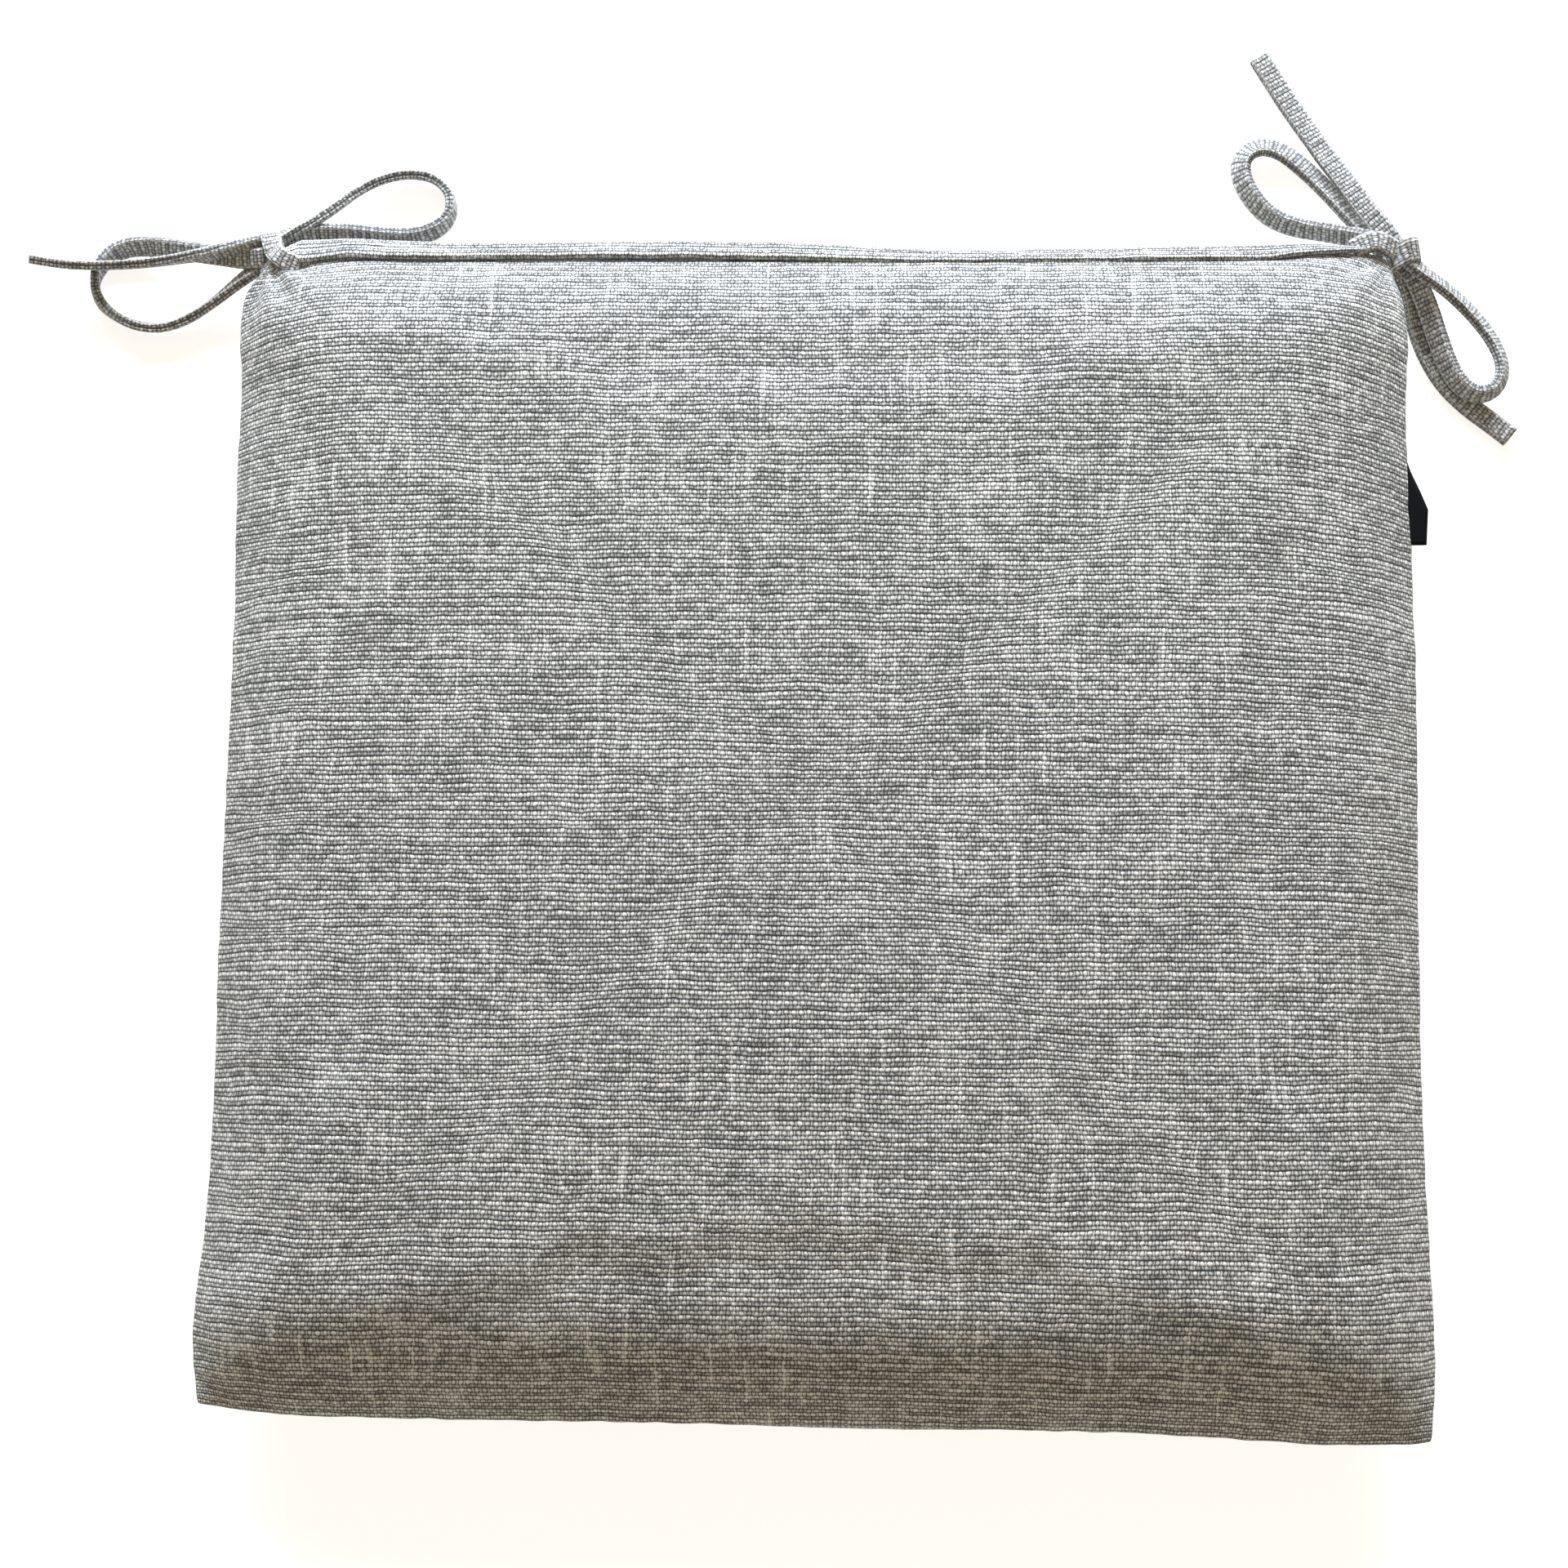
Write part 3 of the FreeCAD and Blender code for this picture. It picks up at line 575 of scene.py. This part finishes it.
def face_point(x, y, side):
    """Point of the top (1) or bottom (-1) face, in millimetres."""
    u, v = x / half_pad, y / half_pad
    tuck_size = 2.5 if v < 0 else 6.5
    tuck = tuck_size * abs(u * v) ** 12
    rise = 18.7 + 3.0 * (1 - u * u) * (1 - v * v) if side > 0 else -19.5
    z = 18.0 + rise * roll(half_pad - abs(x)) * roll(half_pad - abs(y))
    return [x - math.copysign(tuck, x), y - math.copysign(tuck, y), max(z, 0.0)]


pocket_top = {8.0: (192.0, 23.6), 6.0: (191.2, 22.2), 4.0: (190.0, 21.4), 2.0: (189.5, 20.0),
              0.0: (189.5, 18.0)}
pocket_bottom = {8.0: (192.0, 12.4), 6.0: (191.2, 13.8), 4.0: (190.0, 14.6), 2.0: (189.5, 16.0),
                 0.0: (189.5, 18.0)}


def cover_point(x, y, side):
    """Point of a face, folded into the pocket where the zip is."""
    point = face_point(x, y, side)
    gap = half_pad - y
    if gap <= 8.0:
        folded = (pocket_top if side > 0 else pocket_bottom)[gap]
        share = 1 - smooth(abs(x), pocket_half - 1, pocket_half + 4)
        point[1] += (folded[0] - point[1]) * share
        point[2] += (folded[1] - point[2]) * share
    return point


# %% Lengths of cloth along the middle of each face, for the UV map
def cloth_lengths(side):
    """Length of cloth from the middle to each grid line."""
    profile = np.array([(x, face_point(x, 0.0, side)[2]) for x in lines])
    run = np.concatenate([[0.0], np.cumsum(np.linalg.norm(np.diff(profile, axis=0), axis=1))])
    return (run - run[len(lines) // 2]) / 1000


def pulled_rows(x, y):
    """How far the rows of thread are dragged along by the tied corners, in metres."""
    right = 0.0055 * max(0.0, (x - 120) / 80) ** 2 * smooth(y, -80, 150)
    left = 0.0035 * max(0.0, (-x - 140) / 60) ** 2 * smooth(y, 60, 190)
    return right + left


# %% Two grids that share their seam
count = len(lines)
points, cloth_uvs, faces = [], [], []
index = {}
for side in (1, -1):
    for i in range(count):
        for j in range(count):
            on_seam = i in (0, count - 1) or j in (0, count - 1)
            if side < 0 and on_seam:
                index[side, i, j] = index[1, i, j]
                continue
            index[side, i, j] = len(points)
            points.append([v / 1000 for v in cover_point(lines[i], lines[j], side)])
    lengths = cloth_lengths(side)
    for i in range(count - 1):
        for j in range(count - 1):
            corners = [(i, j), (i + 1, j), (i + 1, j + 1), (i, j + 1)]
            if side < 0:
                corners.reverse()
            faces.append([index[(side, *corner)] for corner in corners])
            cloth_uvs += [(lengths[a], lengths[b] + pulled_rows(lines[a], lines[b]))
                          for a, b in corners]
cover_mesh = bpy.data.meshes.new("cover")
cover_mesh.from_pydata(points, [], faces)
cover_mesh.uv_layers.new(name="cloth").data.foreach_set(
    "uv", np.array(cloth_uvs, dtype=np.float32).ravel())
cover = bpy.data.objects.new("cover", cover_mesh)
bpy.context.collection.objects.link(cover)
print("cover faces:", len(faces))

# %% [markdown]
# ## Filling the cover with air
# Pressure inside a pinned seam gives the tight, slightly uneven swell that no formula has. Gravity
# is off and the movement of every point is capped, because the real filling is a flat slab of foam
# that only fills out the cloth. The underside stays flat, as the seat of the chair presses it.

# %% Pressure simulation
def per_vertex(piece, what):
    """Positions ("co") or normals ("normal") of a piece's points, as rows of three."""
    values = np.empty(len(piece.data.vertices) * 3)
    piece.data.vertices.foreach_get(what, values)
    return values.reshape(-1, 3)


pinned = cover.vertex_groups.new(name="sewn")
seam_points = {index[1, i, j] for i in range(count) for j in range(count)
               if i in (0, count - 1) or j in (0, count - 1)}
pocket_points = {index[side, i, j] for side in (1, -1) for i in range(count)
                 for j in range(count) if lines[j] >= 192.0 and abs(lines[i]) <= pocket_half + 6}
pinned.add(sorted(seam_points | pocket_points), 1.0, "REPLACE")
flat_shape = np.array(points)
shape = flat_shape.copy()
bpy.context.view_layer.objects.active = cover
air = cover.modifiers.new("air", "CLOTH")
air.settings.use_pressure = True
air.settings.uniform_pressure_force = 4.0
air.settings.vertex_group_mass = "sewn"
air.settings.shrink_min = -0.012
air.settings.effector_weights.gravity = 0.0
air.collision_settings.use_self_collision = False
air.point_cache.frame_end = 20
for number in range(1, 21):
    bpy.context.scene.frame_set(number)
bpy.ops.object.modifier_apply(modifier="air")
move = per_vertex(cover, "co") - flat_shape
outwards = per_vertex(cover, "normal")
swell = np.sum(move * outwards, axis=1, keepdims=True)
slide = move - swell * outwards
print("swelled by", round(float(swell.min()) * 1000, 2), "to", round(float(swell.max()) * 1000, 2),
      "mm, slid by up to", round(float(np.linalg.norm(slide, axis=1).max()) * 1000, 2), "mm")
slid = np.linalg.norm(slide, axis=1, keepdims=True)
slide *= 0.0015 / np.maximum(slid, 0.0015)
shape = flat_shape + outwards * np.clip(swell * 0.5, -0.0003, 0.0018) + slide
shape[:, 2] = np.maximum(shape[:, 2], 0.0)
cover.data.vertices.foreach_set("co", shape.ravel())
cover.data.update()

# %% One subdivision for a smooth surface
bpy.ops.object.select_all(action="DESELECT")
bpy.context.view_layer.objects.active = cover
finer = cover.modifiers.new("finer", "SUBSURF")
finer.levels = finer.render_levels = 1
bpy.ops.object.modifier_apply(modifier="finer")
print("cover points:", len(cover.data.vertices))

# %% [markdown]
# ## Folds, puckers and a hand-made outline
# Thread tension draws small puckers into the cloth beside a seam, the tapes gather the back
# corners, and no edge of a home-filled pad is quite straight. These are moves of the finished
# points along their normals, each one a short rule in real millimetres.

# %% Shape the surface
def bump_at(value, middle, width):
    """Smooth bump of height 1."""
    return math.exp(-((value - middle) / width) ** 2)


def outline_shift(x, y):
    """How far the outline is out of square, in millimetres, fading away from the edges."""
    near_side = 1 - smooth(half_pad - abs(x), 0, 70)
    near_end = 1 - smooth(half_pad - abs(y), 0, 60)
    if x < 0:
        shift_x = -1.7 * bump_at(y, 125, 45) - 3.4 * bump_at(y, 172, 18)
        shift_x += 1.0 * bump_at(y, -110, 45) - 2.6 * bump_at(y, -175, 28)
    else:
        shift_x = 1.6 * bump_at(y, 50, 70) + 2.4 * bump_at(y, 172, 22) + 2.4 * bump_at(y, -182, 48)
    shift_y = 0.0
    if y < 0:
        shift_y = 1.2 * (1 - smooth(x, -195, -165)) - 2.8 * smooth(x, 100, 190)
    return shift_x * near_side, shift_y * near_end


def pucker(x, y, z):
    """Rise of the cloth along its normal beside the seam and on the faces, in millimetres."""
    gap = min(half_pad - abs(x), half_pad - abs(y))
    along = x if half_pad - abs(y) < half_pad - abs(x) else y + 500
    wave = noise.noise(Vector((along / 7.0, z / 14.0, 3.0)))
    rise = 0.45 * (wave + 0.3) * math.exp(-gap / 9.0)
    face = smooth(gap, 8, 50)
    rise += 0.8 * face * noise.noise(Vector((x / 75.0, y / 75.0, 9.0 if z > 18 else 30.0)))
    return rise


def gather(x, y, corner, size, folds):
    """Folds that run out from a tied corner."""
    across, up = x - corner[0], y - corner[1]
    reach = math.hypot(across, up)
    angle = math.atan2(up, across)
    depth = math.exp(-(reach / 26.0) ** 2) * (1 - math.exp(-(reach / 7.0) ** 2))
    return size * depth * math.sin(folds * angle + 0.8)


normals = per_vertex(cover, "normal")
place = per_vertex(cover, "co") * 1000
for number, (x, y, z) in enumerate(place.tolist()):
    in_pocket = abs(x) < pocket_half + 4 and y > 188.5 and 13.0 < z < 23.0
    rise = 0.0 if in_pocket else pucker(x, y, z)
    rise += gather(x, y, (-192, 192), 1.2, 9) + gather(x, y, (193, 193), 0.7, 8)
    place[number] += normals[number] * rise
    shift_x, shift_y = outline_shift(x, y)
    if y < -150:
        belly = bump_at(x, 15, 80) * (1 - smooth(y, -200, -170))
        shift_y += (-2.2 if z < 17.0 else 0.6) * belly
    place[number][0] += shift_x
    place[number][1] += shift_y
place[:, 2] = np.maximum(place[:, 2], 0.0)
cover.data.vertices.foreach_set("co", (place / 1000).ravel())
cover.data.update()
cover.data.shade_smooth()
cover.data.materials.append(cover_cloth)
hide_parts("cover_top_panel", "cover_bottom_panel")
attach(cover, "pad")
print("cover height:", round(float(place[:, 2].max()), 2), "mm")

# %% [markdown]
# ## The flap over the zip
# The top panel ends in a folded edge that hides the zip: a soft roll of double cloth with a line
# of stitches in it, wider on the left and dying away into the seam on the right. A straight bar
# would look like plastic, so the strip is swept with a width and a height that wander a little.

# %% Flap: a soft edge beside the groove, a valley of stitches, and a thin lip
flap_outline = [(-0.50, 0.00), (-0.495, 0.20), (-0.47, 0.34), (-0.42, 0.42), (-0.34, 0.45),
                (-0.24, 0.43), (-0.14, 0.39), (-0.04, 0.33), (0.02, 0.27), (0.06, 0.245),
                (0.11, 0.265), (0.22, 0.24), (0.36, 0.13), (0.46, 0.00), (0.50, -0.12),
                (0.46, -0.20), (0.30, -0.22), (0.0, -0.22), (-0.30, -0.22), (-0.46, -0.16)]
flap_route = [(-190, 189.0, 197.0), (-182, 190.0, 200.8), (-166, 191.4, 200.4), (-130, 190.6, 198.5),
              (-65, 191.2, 199.3), (-12, 190.4, 198.6), (30, 189.3, 196.0), (60, 189.3, 195.4),
              (120, 190.0, 196.6), (152, 190.2, 197.2), (172, 193.0, 197.7), (187, 195.0, 197.4)]
flap_height, flap_tilt = 24.2, -0.40
stops_x, roots, lips = zip(*flap_route)
middles, wides, thicks = [], [], []
for x in np.linspace(-190, 187, 190):
    root, lip = np.interp(x, stops_x, roots), np.interp(x, stops_x, lips)
    end = min(smooth(x, -191.5, -186), smooth(-x, -190, -178))
    wave = noise.noise(Vector((x / 18.0, 0.0, 5.0)))
    high = flap_height - 3.0 * smooth(abs(x), 160, 190) + 0.2 * wave
    width = (lip - root) * (0.6 + 0.4 * end)
    middles.append((x / 1000, ((root + lip) / 2 + 0.15 * wave) / 1000, high / 1000))
    wides.append((0.0, width / 1000, flap_tilt * width / 1000))
    thicks.append((0.0, 0.0012 * end, 0.0034 * (0.45 + 0.55 * end)))
flap = swept_strip("folded_flap", middles, wides, thicks, flap_outline, rows_along=True)
flap.data.materials.append(cover_cloth)
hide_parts("zip_flap")
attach(flap, "pad")

# %% [markdown]
# ## Side label
# A short piece of black satin ribbon, folded in two, with both ends caught in the side seam. It
# stands out of the seam by its stiffness and droops a little. It is one sheet of cloth: a loop
# drawn in side view and carried along the seam, with a wall of half a millimetre.

# %% Label sheet
label_back, label_front = 122.5, 93.0
rows = 25
around = 22
label_points, label_faces, label_uvs = [], [], []
for i in range(rows):
    share = i / (rows - 1)
    y = label_front + (label_back - label_front) * share
    reach = min(6.5 + 2.2 * share, 0.9 + 11.2 * (1.0 - share))
    droop = 0.9 * share + 1.4 * smooth(share, 0.6, 1.0)
    for j in range(around):
        turn = math.pi * (j / (around - 1))
        out = 199.0 + reach * math.sin(turn) ** 0.55
        thick = 0.55 * math.cos(turn)
        fall = droop * math.sin(turn) ** 2
        label_points.append((out / 1000, y / 1000, (18.1 + thick - fall) / 1000))
for i in range(rows - 1):
    for j in range(around - 1):
        label_faces.append((i * around + j, i * around + j + 1, (i + 1) * around + j + 1,
                            (i + 1) * around + j))
        label_uvs += [(j * 0.0008, i * 0.0012), ((j + 1) * 0.0008, i * 0.0012),
                      ((j + 1) * 0.0008, (i + 1) * 0.0012), (j * 0.0008, (i + 1) * 0.0012)]
label_mesh = bpy.data.meshes.new("satin_label")
label_mesh.from_pydata(label_points, [], label_faces)
label_mesh.uv_layers.new(name="cloth").data.foreach_set(
    "uv", np.array(label_uvs, dtype=np.float32).ravel())
label = bpy.data.objects.new("satin_label", label_mesh)
bpy.context.collection.objects.link(label)
label_mesh.shade_smooth()
bpy.context.view_layer.objects.active = label
wall = label.modifiers.new("wall", "SOLIDIFY")
wall.thickness = 0.0004
wall.offset = 0.0
bpy.ops.object.modifier_apply(modifier="wall")
turn_outwards(label)
label_cloth, tree, shader = new_material("black_satin_ribbon", Roughness=0.55)
shader.inputs["Specular IOR Level"].default_value = 0.12
satin_uv = add(tree, "UVMap", uv_map="cloth")
threads_uv = add(tree, "VectorMath", {0: satin_uv.outputs["UV"], 1: (400.0, 3200.0, 1.0)},
                 operation="MULTIPLY")
satin = add(tree, "TexNoise", {"Vector": threads_uv.outputs[0], "Scale": 1.0, "Detail": 2.0})
tint_between(tree, shader, satin.outputs["Fac"], "#020307", "#070A12")
raise_by(tree, shader, satin.outputs["Fac"], 0.4, 0.0001)
label.data.materials.append(label_cloth)
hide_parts("side_label")
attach(label, "pad")

# %% [markdown]
# ## The zip
# A nylon coil zip: two woven tapes, two coils of stiff thread, and a zinc slider. The CAD coils are
# plain bars, so each is replaced by one small loop of thread that an array repeats at its real
# pitch of 1.25 mm. A real helix would be finer, but a few faces a turn are enough at this size.

# %% Coils
coil_pitch = 0.00125


def zip_coil(name, middle_height):
    """A row of flat thread loops along the edge of the tape."""
    low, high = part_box(name)
    bpy.ops.mesh.primitive_torus_add(
        major_segments=10, minor_segments=5, major_radius=0.00065, minor_radius=0.00033,
        location=(low.x + coil_pitch / 2, (low.y + high.y) / 2, middle_height))
    coil = bpy.context.object
    coil.name = name.replace("zip", "nylon")
    bpy.ops.object.mode_set(mode="EDIT")
    bpy.ops.mesh.select_all(action="SELECT")
    bpy.ops.transform.rotate(value=math.radians(90), orient_axis="Y",
                             center_override=coil.location)
    bpy.ops.transform.resize(value=(0.85, 0.75, 0.92), center_override=coil.location)
    bpy.ops.object.mode_set(mode="OBJECT")
    bpy.ops.object.transform_apply(location=True, rotation=True, scale=True)
    row_of_loops = coil.modifiers.new("row", "ARRAY")
    loops = int((high.x - low.x) / coil_pitch)
    row_of_loops.count = loops
    row_of_loops.use_relative_offset = False
    row_of_loops.use_constant_offset = True
    row_of_loops.constant_offset_displace = (coil_pitch, 0, 0)
    bpy.ops.object.modifier_apply(modifier="row")
    coil.data.shade_smooth()
    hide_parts(name)
    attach(coil, "pad")
    print(name, "loops:", loops)
    return coil


bpy.ops.object.select_all(action="DESELECT")
coil_upper = zip_coil("zip_coil_upper", 0.0195)
bpy.ops.object.select_all(action="DESELECT")
coil_lower = zip_coil("zip_coil_lower", 0.0165)

# %% Nylon thread: drawn monofilament, slightly translucent and shiny
nylon, tree, shader = new_material("drawn_nylon_coil", Roughness=0.35)
grain = add(tree, "TexCoord")
flecks = add(tree, "TexNoise", {"Vector": grain.outputs["Object"], "Scale": 900.0})
tint_between(tree, shader, flecks.outputs["Fac"], "#7C8082", "#A3A7A8")
coil_upper.data.materials.append(nylon)
coil_lower.data.materials.append(nylon)

# %% [markdown]
# ## Finishes of the other CAD parts
# The zip's tape, its slider and stops, and the layers of the filling keep their CAD shape. Each
# gets its own finish: ribbed tape, lacquered zinc, spunbonded liner with its pattern of
# pressed dots, fluffy wadding and open-celled foam.

# %% Zip tape: woven polyester twill, ribs 0.8 mm apart
twill, tree, shader = new_material("twill_zip_tape", Roughness=0.85, Sheen_Weight=0.1)
spot = add(tree, "TexCoord")
ribs = add(tree, "Mapping", {"Vector": spot.outputs["Object"], "Rotation": (0.0, 0.9, 0.0)})
twill_wave = add(tree, "TexWave", {"Vector": ribs.outputs[0], "Scale": 390.0, "Distortion": 0.6,
                                   "Detail": 2.0})
tint_between(tree, shader, twill_wave.outputs["Fac"], "#585C5E", "#85898B")
raise_by(tree, shader, twill_wave.outputs["Fac"], 0.6, 0.0002)

# %% Slider, pull tab and stops: die-cast zinc under grey lacquer
zinc, tree, shader = new_material("lacquered_die_cast_zinc", Metallic=0.9, Roughness=0.34)
spot = add(tree, "TexCoord")
peel = add(tree, "TexNoise", {"Vector": spot.outputs["Object"], "Scale": 1400.0, "Detail": 3.0})
tint_between(tree, shader, peel.outputs["Fac"], "#6B6E71", "#999C9E")
wear = add(tree, "MapRange", {"Value": peel.outputs["Fac"], 1: 0.3, 2: 0.7, 3: 0.26, 4: 0.45})
tree.links.new(wear.outputs[0], shader.inputs["Roughness"])
raise_by(tree, shader, peel.outputs["Fac"], 0.25, 0.0001)

# %% Liner: spunbonded polypropylene, bonded by dots 2.4 mm apart
spunbond, tree, shader = new_material("spunbonded_polypropylene_liner", Roughness=0.7)
spot = add(tree, "TexCoord")
dots = add(tree, "TexVoronoi", {"Vector": spot.outputs["Object"], "Scale": 420.0,
                                "Randomness": 0.1})
fibres = add(tree, "TexNoise", {"Vector": spot.outputs["Object"], "Scale": 1500.0, "Detail": 5.0})
tint_between(tree, shader, fibres.outputs["Fac"], "#DADCDB", "#F1F2F0")
raise_by(tree, shader, dots.outputs[0], 0.5, 0.0002)

# %% Wadding: crimped polyester fibre, white and fluffy
fluff, tree, shader = new_material("polyester_fibre_wadding", Roughness=0.95, Sheen_Weight=0.3)
spot = add(tree, "TexCoord")
strands = add(tree, "TexNoise", {"Vector": spot.outputs["Object"], "Scale": 260.0, "Detail": 8.0,
                                 "Roughness": 0.7, "Distortion": 1.5})
tint_between(tree, shader, strands.outputs["Fac"], "#D9DAD8", "#F7F7F5")
raise_by(tree, shader, strands.outputs["Fac"], 0.8, 0.0008)

# %% Foam: slabstock polyurethane with open cells about 0.8 mm wide
foam, tree, shader = new_material("open_cell_polyurethane_foam", Roughness=0.9)
spot = add(tree, "TexCoord")
cells = add(tree, "TexVoronoi", {"Vector": spot.outputs["Object"], "Scale": 1250.0})
tint_between(tree, shader, cells.outputs[0], "#C9B98C", "#EFE4BF")
raise_by(tree, shader, cells.outputs[0], 0.7, 0.0004)

# %% Give the CAD nodes their finishes
finishes = {
    "zip_tape_upper": twill, "zip_tape_lower": twill,
    "zip_stop_closed_end": zinc, "zip_stop_open_end": zinc,
    "zip_slider": zinc, "zip_pull_tab": zinc,
    "liner_top": spunbond, "liner_bottom": spunbond,
    "wadding_top": fluff, "wadding_bottom": fluff, "foam_core": foam,
}
for name, finish in finishes.items():
    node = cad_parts[name]
    node.data.materials.clear()
    node.data.materials.append(finish)
print("CAD nodes finished:", len(finishes))

# %% [markdown]
# ## Floor
# A plain white sweep of paper. It glows, and more so towards the lens, like a lit studio table,
# so the pad stands on white with only a trace of shadow under it.

# %% White floor
paper, tree, shader = new_material("white_paper_floor", Roughness=0.9)
spot = add(tree, "TexCoord")
tooth = add(tree, "TexNoise", {"Vector": spot.outputs["Object"], "Scale": 300.0, "Detail": 2.0})
shader.inputs["Base Color"].default_value = to_linear("#F2F2F0")
shader.inputs["Emission Color"].default_value = to_linear("#FFFFFF")
to_lens = add(tree, "LightPath").outputs["Is Camera Ray"]
glow = add(tree, "MapRange", {"Value": to_lens, 1: 0.0, 2: 1.0, 3: 0.34, 4: 0.66})
tree.links.new(glow.outputs[0], shader.inputs["Emission Strength"])
raise_by(tree, shader, tooth.outputs["Fac"], 0.05, 0.0002)
bpy.ops.mesh.primitive_grid_add(x_subdivisions=4, y_subdivisions=4, size=60,
                                location=(0, 0, -0.0004))
floor = bpy.context.object
floor.name = "floor"
bpy.ops.object.transform_apply(location=True)
floor.data.materials.append(paper)
